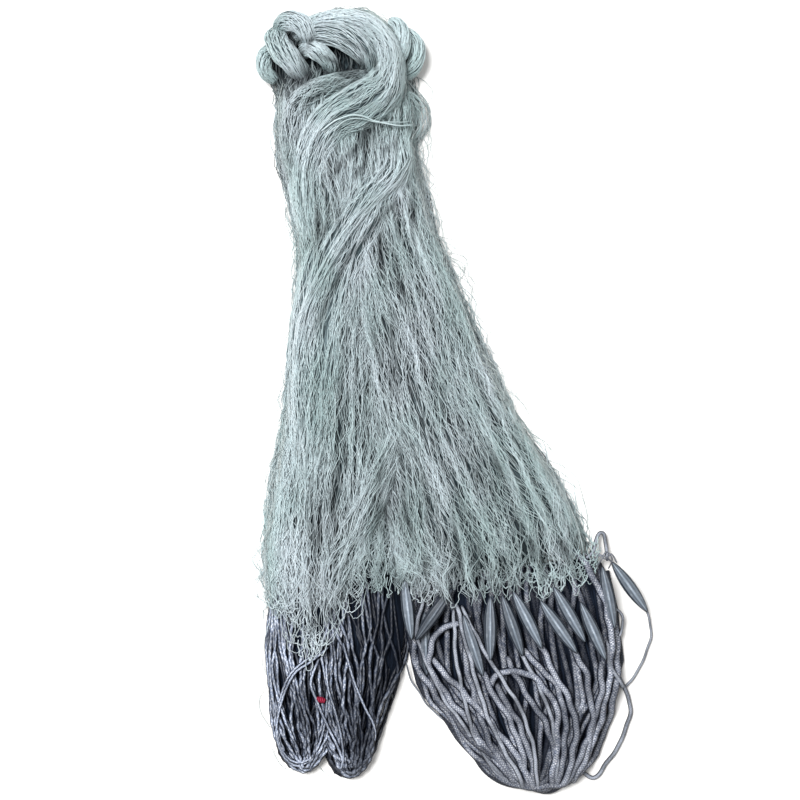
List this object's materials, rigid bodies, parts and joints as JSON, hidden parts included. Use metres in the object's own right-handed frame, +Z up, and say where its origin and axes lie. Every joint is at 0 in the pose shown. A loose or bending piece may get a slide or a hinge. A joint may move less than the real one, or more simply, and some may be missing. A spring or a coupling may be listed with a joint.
{
  "type": "trammel net hank",
  "caption": "Fine-mesh trammel net gathered into a hank with a twisted, tied head, its netting fanned out to a bunched lead line and a bunched float line with spindle floats.",
  "frame": {"origin": "centre of the hank's footprint, on the ground it lies on", "axes": "+Y from the rope bights to the tied head, along the longest extent; +Z up from the ground, through the thickness; +X from the lead line's side to the float line's side"},
  "size_m": [0.3996, 0.7907, 0.0545],
  "materials": {
    "netting_twine": "fine pale grey-green nylon twine, satin",
    "float_rope": "braided slate-grey cord with pale flecks",
    "lead_rope": "thin braided dark slate cord over lead lengths",
    "float_foam": "grey-blue moulded foam, satin"
  },
  "bodies": {
    "root": {"netting": "netting_twine", "float_line": "float_rope", "lead_line": "lead_rope", "float_01": "float_foam", "float_02": "float_foam", "float_03": "float_foam", "float_04": "float_foam", "float_05": "float_foam", "float_06": "float_foam", "float_07": "float_foam", "float_08": "float_foam", "float_09": "float_foam", "float_10": "float_foam", "float_11": "float_foam", "float_12": "float_foam"}
  },
  "joints": []
}
